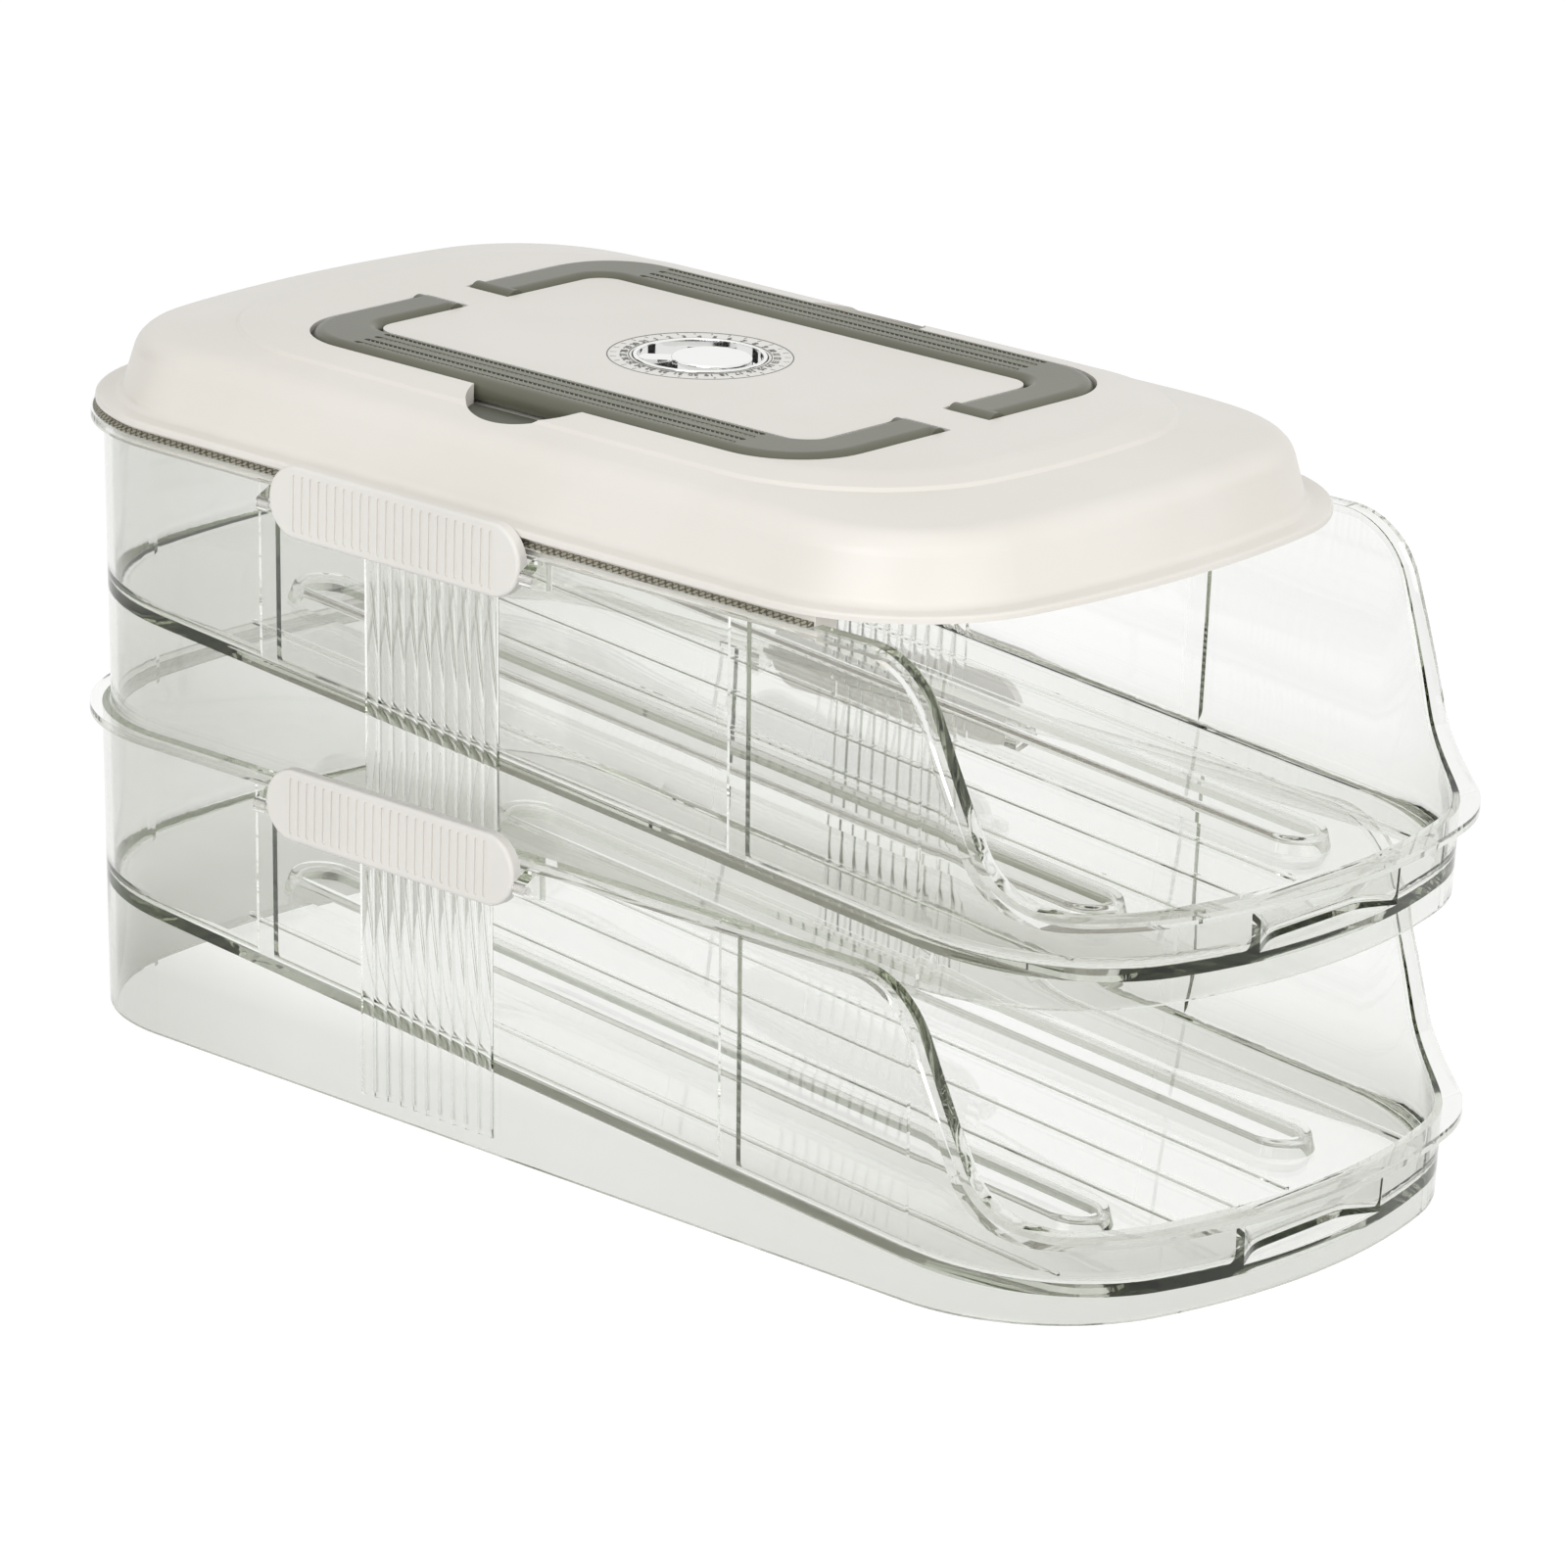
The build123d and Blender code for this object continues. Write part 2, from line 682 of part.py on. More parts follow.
# Handle pins: two short pins for each handle, held in its legs
for side_name, side in (("left", -1), ("right", 1)):
    with BuildPart() as handle_pins:
        for leg_y in (lid_center_y - leg_middle, lid_center_y + leg_middle):
            with BuildSketch(Plane.XZ.offset(-leg_y)):
                with Locations((side * bail_pivot_x, bail_pivot_z)):
                    Circle(handle_pin_diameter / 2)
            extrude(amount=pin_length / 2, both=True)
    handle_pins.part.label = "handle_pins_" + side_name
    export_step(handle_pins.part, "parts/handle_pins_" + side_name + ".step")

# Clip of the lower tray on the right: a ribbed capsule that swings on two stub pins
clip_groove_count = int((clip_length - clip_height) / clip_rib_pitch) + 1
with BuildPart() as clip_right:
    with BuildSketch(Plane.YZ.offset(clip_inner_x)):
        with Locations((clip_center_y, clip_middle_z)):
            SlotOverall(clip_length, clip_height)
    extrude(amount=clip_thickness)
    fillet(clip_right.faces().sort_by(Axis.X)[-1].edges(), clip_edge_radius)
    with BuildSketch(Plane.YZ.offset(clip_outer_x)):
        with Locations((clip_center_y, clip_middle_z)):
            with GridLocations(clip_rib_pitch, 0, clip_groove_count, 1):
                SlotOverall(clip_height - 4 * clip_edge_radius, clip_rib_groove, rotation=90)
    extrude(amount=-clip_rib_depth, mode=Mode.SUBTRACT)
    for clip_end_y, inward in ((clip_front_y, -1), (clip_rear_y, 1)):
        with BuildSketch(Plane.XZ.offset(-clip_end_y)):
            with Locations((clip_pivot_x, clip_pivot_z)):
                Circle(clip_pin_diameter / 2 + running_gap)
        extrude(amount=inward * (clip_pin_grip + seat_gap), mode=Mode.SUBTRACT)

# Clip pins of the lower tray on the right: two stub pins held in the ears
with BuildPart() as clip_pins_right:
    for ear_y, inward in ((ear_middles[0], -1), (ear_middles[1], 1)):
        start_y = ear_y + inward * ear_length / 2
        with BuildSketch(Plane.XZ.offset(-start_y)):
            with Locations((clip_pivot_x, clip_pivot_z)):
                Circle(clip_pin_diameter / 2)
        extrude(amount=inward * (ear_length + ear_gap + clip_pin_grip))

# Clips and their pins on both sides of both trays
for tier_name, tier_z in (("lower", 0), ("upper", tray_pitch)):
    raised = Location((0, 0, tier_z))
    with BuildPart() as clip_on_right:
        add(clip_right.part.moved(raised))
    clip_on_right.part.label = "clip_" + tier_name + "_right"
    export_step(clip_on_right.part, "parts/clip_" + tier_name + "_right.step")
    with BuildPart() as clip_on_left:
        mirror(clip_right.part.moved(raised), about=Plane.YZ)
    clip_on_left.part.label = "clip_" + tier_name + "_left"
    export_step(clip_on_left.part, "parts/clip_" + tier_name + "_left.step")
    with BuildPart() as pins_on_right:
        add(clip_pins_right.part.moved(raised))
    pins_on_right.part.label = "clip_pins_" + tier_name + "_right"
    export_step(pins_on_right.part, "parts/clip_pins_" + tier_name + "_right.step")
    with BuildPart() as pins_on_left:
        mirror(clip_pins_right.part.moved(raised), about=Plane.YZ)
    pins_on_left.part.label = "clip_pins_" + tier_name + "_left"
    export_step(pins_on_left.part, "parts/clip_pins_" + tier_name + "_left.step")

# Dial plate: ring-shaped day scale let into the lid
with BuildPart() as dial_plate:
    with BuildSketch(Plane.XY.offset(deck_top)):
        with Locations((0, lid_center_y)):
            Circle(dial_plate_radius)
            Circle(dial_well_radius, mode=Mode.SUBTRACT)
    extrude(amount=-dial_plate_thickness)
    tick_middle = dial_plate_radius - dial_tick_inset - dial_tick_length / 2
    with BuildSketch(Plane.XY.offset(deck_top)):
        with Locations((0, lid_center_y)):
            with PolarLocations(tick_middle, dial_tick_count):
                Rectangle(dial_tick_length, dial_tick_width)
    extrude(amount=-dial_tick_depth, mode=Mode.SUBTRACT)
dial_plate.part.label = "dial_plate"
export_step(dial_plate.part, "parts/dial_plate.step")

# Dial ring: turning cup sunk into the lid inside the day scale
ring_bottom = deck_top - dial_well_depth + seat_gap
with BuildPart() as dial_ring:
    with BuildSketch(Plane.XY.offset(ring_bottom)):
        with Locations((0, lid_center_y)):
            Circle(dial_ring_radius)
            Circle(dial_axle_radius, mode=Mode.SUBTRACT)
    extrude(amount=dial_ring_height)
    with BuildSketch(Plane.XY.offset(ring_bottom + dial_ring_floor)):
        with Locations((0, lid_center_y)):
            Circle(dial_ring_radius - dial_ring_wall)
    extrude(amount=dial_ring_height, mode=Mode.SUBTRACT)
    fillet(dial_ring.faces().sort_by(Axis.Z)[-1].edges(), dial_ring_edge_radius)
dial_ring.part.label = "dial_ring"
export_step(dial_ring.part, "parts/dial_ring.step")

# Dial cap: raised disc in the cup, set off centre, with a lower finger tab that points at the day
cap_bottom = ring_bottom + dial_ring_floor
tab_reach = dial_ring_radius - dial_ring_wall - seat_gap
tab_way = Vector(cos(radians(dial_pointer_turn)), sin(radians(dial_pointer_turn)))
dial_middle = Vector(0, lid_center_y)
with BuildPart() as dial_cap:
    with BuildSketch(Plane.XY.offset(cap_bottom)):
        with Locations(dial_middle - tab_way * dial_cap_shift):
            Circle(dial_cap_radius)
    extrude(amount=dial_cap_height)
    fillet(dial_cap.faces().sort_by(Axis.Z)[-1].edges(), dial_cap_edge_radius)
    with BuildSketch(Plane.XY.offset(cap_bottom)):
        with Locations(dial_middle + tab_way * tab_reach / 2):
            SlotOverall(tab_reach, dial_pointer_width, rotation=dial_pointer_turn)
    extrude(amount=dial_pointer_height)
    with BuildSketch(Plane.XY.offset(cap_bottom)):
        with Locations((0, lid_center_y)):
            Circle(dial_axle_radius)
    extrude(amount=dial_axle_grip, mode=Mode.SUBTRACT)
dial_cap.part.label = "dial_cap"
export_step(dial_cap.part, "parts/dial_cap.step")

# Dial axle: headed pin that holds the ring and the cap on the lid
head_top = deck_top - lid_wall - dial_boss_depth - seat_gap
with BuildPart() as dial_axle:
    with BuildSketch(Plane.XY.offset(head_top)):
        with Locations((0, lid_center_y)):
            Circle(dial_axle_radius)
    extrude(amount=cap_bottom + dial_axle_grip - head_top)
    with BuildSketch(Plane.XY.offset(head_top)):
        with Locations((0, lid_center_y)):
            Circle(dial_head_radius)
    extrude(amount=-dial_head_thickness)
dial_axle.part.label = "dial_axle"
export_step(dial_axle.part, "parts/dial_axle.step")
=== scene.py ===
import json
import math

import bpy
from mathutils import Matrix, Vector


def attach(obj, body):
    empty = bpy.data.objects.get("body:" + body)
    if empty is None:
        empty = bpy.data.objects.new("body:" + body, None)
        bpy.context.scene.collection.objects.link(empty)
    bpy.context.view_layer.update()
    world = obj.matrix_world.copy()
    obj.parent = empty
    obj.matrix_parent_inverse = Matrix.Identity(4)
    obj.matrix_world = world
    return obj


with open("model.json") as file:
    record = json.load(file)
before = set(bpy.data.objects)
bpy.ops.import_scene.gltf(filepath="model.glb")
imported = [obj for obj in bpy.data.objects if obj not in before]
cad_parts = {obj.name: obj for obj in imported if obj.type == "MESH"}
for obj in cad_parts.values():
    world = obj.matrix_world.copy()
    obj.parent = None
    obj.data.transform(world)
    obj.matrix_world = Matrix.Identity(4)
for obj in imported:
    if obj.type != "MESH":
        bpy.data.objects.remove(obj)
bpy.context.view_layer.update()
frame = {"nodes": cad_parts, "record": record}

# Camera, fitted to the photograph: metres and degrees
aim = Vector((0, 0.0282, 0.080))
camera_azimuth = -47.488
camera_elevation = 17.482
camera_roll = 1.557
camera_distance = 1.9875
sensor_width = 36.0
lens_length = 175.77
camera_shift = (0.0605, -0.0107)
camera_reach = 50

# World: white for the camera, metal and clear plastic, and softer for the rest
white_strength = 1.0
soft_strength = 0.53
soft_colour = (1.0, 0.995, 0.985, 1)

# Lamps: place, target, size and power
key_lamp = ((-2.0, -0.6, 0.9), (0, 0, 0.12), 1.4, 19.5)
fill_lamp = ((0.3, -2.1, 1.25), (0, 0, 0.12), 2.2, 21.5)
top_lamp = ((0, 0.4, 2.2), (0, 0, 0.1), 1.8, 3.5)

# Opaque plastics: darker and lighter tone, roughness, grain and coat
plastics = {
    "cream_lid": ((0.80, 0.77, 0.715), (0.83, 0.80, 0.75), 0.38, 0.04, 0.1),
    "grey_handle": ((0.117, 0.117, 0.083), (0.142, 0.142, 0.104), 0.33, 0.08, 0),
    "white_clip": ((0.79, 0.77, 0.73), (0.83, 0.81, 0.77), 0.45, 0.06, 0),
    # Two strip tones: painted shadow under the lid's flange, and painted highlights on the knurl crowns
    "painted_flange_shadow": ((0.10, 0.092, 0.062), (0.13, 0.12, 0.085), 0.55, 0.05, 0),
    "painted_knurl_highlight": ((0.42, 0.40, 0.33), (0.50, 0.48, 0.40), 0.45, 0.05, 0),
    # Grip ribs: the handles' grey made lighter, painted highlight on the hatch
    "grip_rib_highlight": ((0.30, 0.30, 0.245), (0.35, 0.35, 0.29), 0.4, 0.05, 0),
    # Notch plates: darker than the handles, painted shade in the finger notches
    "notch_painted_shade": ((0.09, 0.093, 0.07), (0.11, 0.113, 0.088), 0.5, 0.06, 0),
    # Printed figures, and painted shade in the lines at the plate's edges
    "figure_print_and_gap_shade": ((0.16, 0.16, 0.14), (0.20, 0.20, 0.18), 0.5, 0.02, 0),
}
plastic_specular = 0.4
plastic_coat_roughness = 0.12
tone_scale = 18.0
tone_places = (0.35, 0.65)
grain_scale = 900.0
grain_height = 0.0004

# Metals: colour, roughness and how much rougher the scratches are
metals = {
    "chrome": ((0.86, 0.86, 0.85), 0.04, 0.05),
    "silver_plate": ((0.74, 0.725, 0.69), 0.3, 0.1),
    "steel_pin": ((0.62, 0.62, 0.62), 0.25, 0.15),
}
scratch_scale = 300.0
scratch_stretch = (1, 6, 1)
scratch_places = (0.3, 0.7)

# Clear plastic
clear_roughness = 0.01
clear_ior = 1.46
clear_wave_scale = 9.0
clear_wave_strength = 0.15
clear_wave_height = 0.002
absorption_colour = (0.42, 0.46, 0.32, 1)
absorption_density = 15.0

# Light bounces: enough to travel along the trays' clear floors
light_bounces = 72

# Floor: its glow makes it white to the camera, and its own share keeps the shadow
floor_size = 14.0
floor_drop = 0.0005
floor_glow = 0.86
floor_share = (0.22, 0.22, 0.22, 1)
floor_colour = (0.80, 0.80, 0.795, 1)

# Dark cards round the dial, seen only in reflections: turn from the camera's side in degrees
card_distance = 1.3
card_bottom = 0.16
card_top = 0.62
card_turns = ((-70, 24), (92, 114), (-134, -112))
card_steps = 16
card_colour = (0.01, 0.01, 0.01, 1)

# Sizes repeated from the part, in metres
lid_middle_y = 0.0282
deck_top = 0.1902
rim_top = 0.1632
rim_half_width = 0.094
rim_rear_reach = 0.1895
rim_rear_corner = 0.051
rim_rear_bow = 0.330
seat_front_y = -0.0945
bail_top = 0.1912
bail_outer_x = 0.0625
bail_bar_middle = 0.05315
bail_groove_pitch = 0.0036
bail_groove_count = 4
bail_groove_depth = 0.0007
bail_groove_width = 0.0015
bail_groove_length = 0.132
notch_arc_radius = 0.0197
notch_arc_x = 0.0573
notch_floor_top = 0.1847
plate_radius = 0.024
well_radius = 0.0176

# Painted shade on the trays' level surfaces, darker at the mouth and at the back: place from 0 to 1,
# colour
level_painted_shade = (
    (0.0, (0.90, 0.903, 0.887, 1)),
    (0.25, (0.94, 0.943, 0.93, 1)),
    (0.45, (0.99, 0.991, 0.985, 1)),
    (0.8, (0.985, 0.987, 0.978, 1)),
    (1.0, (0.95, 0.953, 0.94, 1)),
)

# Painted shade on the trays' upright walls, darkest at the back and darker at the mouth: place from 0 to
# 1, colour
length_painted_shade = (
    (0.0, (0.91, 0.914, 0.90, 1)),
    (0.3, (0.96, 0.962, 0.952, 1)),
    (0.45, (0.995, 0.996, 0.992, 1)),
    (0.72, (0.985, 0.987, 0.978, 1)),
    (0.9, (0.85, 0.853, 0.833, 1)),
    (1.0, (0.70, 0.704, 0.678, 1)),
)

# Painted shade on the same walls from the foot to the upper rim, darker low down and in a band halfway
# up: place from 0 to 1, colour
height_painted_shade = (
    (0.0, (0.74, 0.743, 0.718, 1)),
    (0.1, (0.77, 0.773, 0.75, 1)),
    (0.18, (0.93, 0.932, 0.92, 1)),
    (0.29, (1.0, 1.0, 1.0, 1)),
    (0.48, (1.0, 1.0, 1.0, 1)),
    (0.5, (0.91, 0.912, 0.9, 1)),
    (0.59, (0.93, 0.932, 0.92, 1)),
    (0.67, (1.0, 1.0, 1.0, 1)),
    (1.0, (1.0, 1.0, 1.0, 1)),
)

# Dark strip on the rim, painted shadow under the lid's flange: a chamfer with a fine diamond knurl,
# whose crowns are painted lighter as highlights
strip_outer_inset = 0.0006
strip_inner_inset = 0.0026
strip_bottom = 0.00008
strip_rise = 0.0010
strip_spacing = 0.00035
strip_rows = 8
knurl_pitch = 0.0022
knurl_height = 0.00016
knurl_highlight_from = 0.3
corner_steps = 120

# Ribs across the grooves of the handles, coloured lighter than the handles as painted highlight
grip_pitch = 0.0016
grip_width = 0.0006
grip_drop = 0.00012
grip_root = 0.00005

# Plates on the floors of the finger notches, dark grey as painted shade in the notches
notch_gap = 0.0001
notch_bar_gap = 0.0009
notch_thickness = 0.0004
notch_crown = 0.0006
notch_rows = 24
notch_columns = 6

# Figures of the dial's day scale, and dark lines at the plate's edges painted as shade in the gaps there
day_count = 31
figure_size = 0.0027
figure_radius = 0.0196
figure_lift = 0.00004
figure_thickness = 0.00003
line_width = 0.0003
line_steps = 120


def set_camera():
    """Camera at the photograph's viewing angle."""
    azimuth = math.radians(camera_azimuth)
    elevation = math.radians(camera_elevation)
    roll = math.radians(camera_roll)
    right = Vector((math.cos(azimuth), math.sin(azimuth), 0))
    back = Vector((
        math.sin(azimuth) * math.cos(elevation),
        -math.cos(azimuth) * math.cos(elevation),
        math.sin(elevation),
    ))
    up = back.cross(right)
    rolled_right = right * math.cos(roll) + up * math.sin(roll)
    rolled_up = up * math.cos(roll) - right * math.sin(roll)
    turn = Matrix((rolled_right, rolled_up, back)).transposed()
    lens = bpy.data.cameras.new("camera")
    lens.sensor_width = sensor_width
    lens.lens = lens_length
    lens.shift_x = camera_shift[0]
    lens.shift_y = camera_shift[1]
    lens.clip_end = camera_reach
    camera = bpy.data.objects.new("camera", lens)
    camera.matrix_world = Matrix.Translation(aim + back * camera_distance) @ turn.to_4x4()
    bpy.context.scene.collection.objects.link(camera)
    bpy.context.scene.camera = camera


class Nodes:
    """A material's node tree, with short calls for its nodes and links."""

    def __init__(self, name):
        self.material = bpy.data.materials.new(name)
        self.material.use_nodes = True
        self.tree = self.material.node_tree
        self.shader = self.tree.nodes["Principled BSDF"]
        self.output = self.tree.nodes["Material Output"]

    def add(self, kind, **values):
        node = self.tree.nodes.new(kind)
        for key, value in values.items():
            if key in node.inputs:
                node.inputs[key].default_value = value
            else:
                setattr(node, key, value)
        return node

    def link(self, source, output, target, socket):
        self.tree.links.new(source.outputs[output], target.inputs[socket])

    def noise(self, scale, detail=3.0, stretch=(1, 1, 1)):
        """Noise in object space, stretched along the axes."""
        place = self.add("ShaderNodeTexCoord")
        mapping = self.add("ShaderNodeMapping")
        mapping.inputs["Scale"].default_value = stretch
        self.link(place, "Object", mapping, "Vector")
        noise = self.add("ShaderNodeTexNoise", Scale=scale, Detail=detail)
        self.link(mapping, "Vector", noise, "Vector")
        return noise

    def ramp(self, source, output, stops, socket="Base Color", target=None):
        """Colour ramp from a texture's value to a shader socket."""
        ramp = self.add("ShaderNodeValToRGB")
        ramp.color_ramp.elements[0].position = stops[0][0]
        ramp.color_ramp.elements[0].color = stops[0][1]
        ramp.color_ramp.elements[1].position = stops[1][0]
        ramp.color_ramp.elements[1].color = stops[1][1]
        self.link(source, output, ramp, "Fac")
        self.link(ramp, "Color", target or self.shader, socket)
        return ramp

    def bump(self, source, output, strength, distance):
        """Bump from a texture's value."""
        bump = self.add("ShaderNodeBump", Strength=strength, Distance=distance)
        self.link(source, output, bump, "Height")
        self.link(bump, "Normal", self.shader, "Normal")


def moulded_plastic(name):
    """Opaque moulded plastic with faint colour and surface variation."""
    dark, light, roughness, grain, coat = plastics[name]
    nodes = Nodes(name)
    clouds = nodes.noise(tone_scale)
    nodes.ramp(clouds, "Fac", ((tone_places[0], (*dark, 1)), (tone_places[1], (*light, 1))))
    fine = nodes.noise(grain_scale, 2.0)
    nodes.bump(fine, "Fac", grain, grain_height)
    nodes.shader.inputs["Roughness"].default_value = roughness
    nodes.shader.inputs["Specular IOR Level"].default_value = plastic_specular
    nodes.shader.inputs["Coat Weight"].default_value = coat
    nodes.shader.inputs["Coat Roughness"].default_value = plastic_coat_roughness
    return nodes.material


def clear_plastic(name):
    """Clear plastic with painted shade along and up its walls and on its level surfaces, that darkens
    where light travels far in it.
    """
    nodes = Nodes(name)
    shader = nodes.shader
    place = nodes.add("ShaderNodeTexCoord")
    parts = nodes.add("ShaderNodeSeparateXYZ")
    nodes.link(place, "Object", parts, 0)
    walls = nodes.add("ShaderNodeMix", data_type="RGBA", blend_type="MULTIPLY")
    walls.inputs["Factor"].default_value = 1.0
    both = nodes.add("ShaderNodeMix", data_type="RGBA")
    # Three ramps paint shade into the base colour by position: along the walls, up the walls, and along
    # the level surfaces
    for axis, low, high, shade_stops, target, socket in (
        ("Y", -rim_rear_reach, rim_rear_reach, length_painted_shade, walls, 6),
        ("Z", 0, rim_top, height_painted_shade, walls, 7),
        ("Y", -rim_rear_reach, rim_rear_reach, level_painted_shade, both, 7),
    ):
        share = nodes.add("ShaderNodeMapRange")
        share.inputs["From Min"].default_value = low
        share.inputs["From Max"].default_value = high
        nodes.link(parts, axis, share, "Value")
        shade_ramp = nodes.ramp(share, "Result", (shade_stops[0], shade_stops[-1]), socket, target)
        for position, colour in shade_stops[1:-1]:
            shade_ramp.color_ramp.elements.new(position).color = colour
    facing = nodes.add("ShaderNodeSeparateXYZ")
    nodes.link(place, "Normal", facing, 0)
    level = nodes.add("ShaderNodeMath", operation="ABSOLUTE")
    nodes.link(facing, "Z", level, 0)
    nodes.link(level, 0, both, 0)
    nodes.link(walls, 2, both, 6)
    nodes.link(both, 2, shader, "Base Color")
    shader.inputs["Roughness"].default_value = clear_roughness
    shader.inputs["IOR"].default_value = clear_ior
    shader.inputs["Transmission Weight"].default_value = 1.0
    waves = nodes.noise(clear_wave_scale, 2.0)
    nodes.bump(waves, "Fac", clear_wave_strength, clear_wave_height)
    absorption = nodes.add("ShaderNodeVolumeAbsorption")
    absorption.inputs["Color"].default_value = absorption_colour
    absorption.inputs["Density"].default_value = absorption_density
    nodes.link(absorption, "Volume", nodes.output, "Volume")
    return nodes.material


def metal(name):
    """Plated or plain metal with fine variation in its gloss."""
    colour, roughness, scratches = metals[name]
    nodes = Nodes(name)
    nodes.shader.inputs["Base Color"].default_value = (*colour, 1)
    nodes.shader.inputs["Metallic"].default_value = 1.0
    fine = nodes.noise(scratch_scale, 4.0, scratch_stretch)
    smooth = (roughness,) * 3 + (1,)
    rough = (roughness + scratches,) * 3 + (1,)
    nodes.ramp(fine, "Fac", ((scratch_places[0], smooth), (scratch_places[1], rough)), "Roughness")
    return nodes.material


def add_piece(name, vertices, faces, materials, body, shares=None):
    """Mesh piece that rides on a body, with a material number for each face."""
    mesh = bpy.data.meshes.new(name)
    mesh.from_pydata(vertices, [], faces)
    for material in materials:
        mesh.materials.append(material)
    if shares:
        mesh.polygons.foreach_set("material_index", shares)
    mesh.update()
    piece = bpy.data.objects.new(name, mesh)
    bpy.context.scene.collection.objects.link(piece)
    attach(piece, body)


def rim_line(inset, spacing):
    """Evenly spaced points round the back of the rim, from the left mouth to the right one."""
    half = rim_half_width - inset
    reach = rim_rear_reach - inset
    corner = rim_rear_corner - inset
    bow = rim_rear_bow - inset
    bow_y = reach - bow
    corner_x = half - corner
    corner_y = bow_y + math.sqrt((bow - corner) ** 2 - corner_x**2)
    turn = math.atan2(corner_y - bow_y, -corner_x)
    coarse = [(-half, seat_front_y)]
    for step in range(corner_steps + 1):
        angle = math.pi + (turn - math.pi) * step / corner_steps
        coarse.append((-corner_x + corner * math.cos(angle), corner_y + corner * math.sin(angle)))
    for step in range(1, corner_steps + 1):
        angle = turn + (math.pi - 2 * turn) * step / corner_steps
        coarse.append((bow * math.cos(angle), bow_y + bow * math.sin(angle)))
    for step in range(1, corner_steps + 1):
        angle = math.pi - turn - (math.pi - turn) * step / corner_steps
        coarse.append((corner_x + corner * math.cos(angle), corner_y + corner * math.sin(angle)))
    coarse.append((half, seat_front_y))
    lengths = [0.0]
    for start, end in zip(coarse, coarse[1:]):
        lengths.append(lengths[-1] + math.dist(start, end))
    count = int(lengths[-1] / spacing)
    points = []
    piece = 0
    for step in range(count + 1):
        along = lengths[-1] * step / count
        while piece < len(coarse) - 2 and lengths[piece + 1] < along:
            piece += 1
        share = (along - lengths[piece]) / (lengths[piece + 1] - lengths[piece])
        start = Vector(coarse[piece])
        end = Vector(coarse[piece + 1])
        way = (end - start).normalized()
        points.append((start.lerp(end, share), Vector((way.y, -way.x)), along))
    return points


def add_seal(dark, light):
    """Knurled dark strip on the rim under the lid's flange, painted as its shadow, with the knurl's
    crowns painted lighter as highlights.
    """
    vertices = []
    faces = []
    shares = []
    width = strip_inner_inset - strip_outer_inset
    line = rim_line(strip_outer_inset, strip_spacing)
    for point, inward, along in line:
        for row in range(strip_rows + 1):
            across = width * row / strip_rows
            first = math.sin(math.pi * (along + across) / knurl_pitch)
            second = math.sin(math.pi * (along - across) / knurl_pitch)
            lift = knurl_height * abs(first * second)
            if row in (0, strip_rows):
                lift = 0
            place = point + inward * across
            height = rim_top + strip_bottom + strip_rise * row / strip_rows + lift
            vertices.append((place.x, place.y, height))
        inner = point + inward * width
        vertices.append((inner.x, inner.y, rim_top + strip_bottom))
    ring = strip_rows + 2
    for step in range(len(line) - 1):
        for row in range(ring):
            start = step * ring + row
            after = step * ring + (row + 1) % ring
            faces.append((start, after, after + ring, start + ring))
            along = line[step][2]
            across = width * (row + 0.5) / strip_rows
            first = abs(math.sin(math.pi * (along + across) / knurl_pitch))
            second = abs(math.sin(math.pi * (along - across) / knurl_pitch))
            # Faces on the knurl crowns take the lighter tone: painted highlight
            shares.append(1 if first * second > knurl_highlight_from and row < strip_rows else 0)
    faces.append(tuple(range(ring)))
    shares.append(0)
    faces.append(tuple(reversed(range((len(line) - 1) * ring, len(line) * ring))))
    shares.append(0)
    add_piece("lid_shadow_strip", vertices, faces, (dark, light), "lid_body", shares)


def add_grip_ribs(side, sign, material):
    """Fine slanted ribs that cross the grooves of a handle's long bar, lighter than the handle as
    painted highlight.
    """
    vertices = []
    faces = []
    count = int((bail_groove_length - bail_groove_width) / grip_pitch)
    top = bail_top - grip_drop
    bottom = bail_top - bail_groove_depth - grip_root
    half = bail_groove_width / 2
    corners = ((0, 1, 5, 4), (1, 3, 7, 5), (3, 2, 6, 7), (2, 0, 4, 6), (4, 5, 7, 6), (0, 2, 3, 1))
    for groove in range(bail_groove_count):
        middle = bail_bar_middle + (groove - (bail_groove_count - 1) / 2) * bail_groove_pitch
        slant = half if groove % 2 else -half
        for rib in range(count):
            y = lid_middle_y + (rib - (count - 1) / 2) * grip_pitch
            first = len(vertices)
            for z, spread in ((bottom, grip_width), (top, grip_width / 2)):
                for end in (-1, 1):
                    for edge in (-1, 1):
                        x = sign * (middle + end * half)
                        vertices.append((x, y + end * slant + edge * spread / 2, z))
            for face in corners:
                placed = tuple(first + corner for corner in face)
                faces.append(placed if sign > 0 else tuple(reversed(placed)))
    add_piece("grip_rib_highlight_" + side, vertices, faces, (material,), side + "_bail")


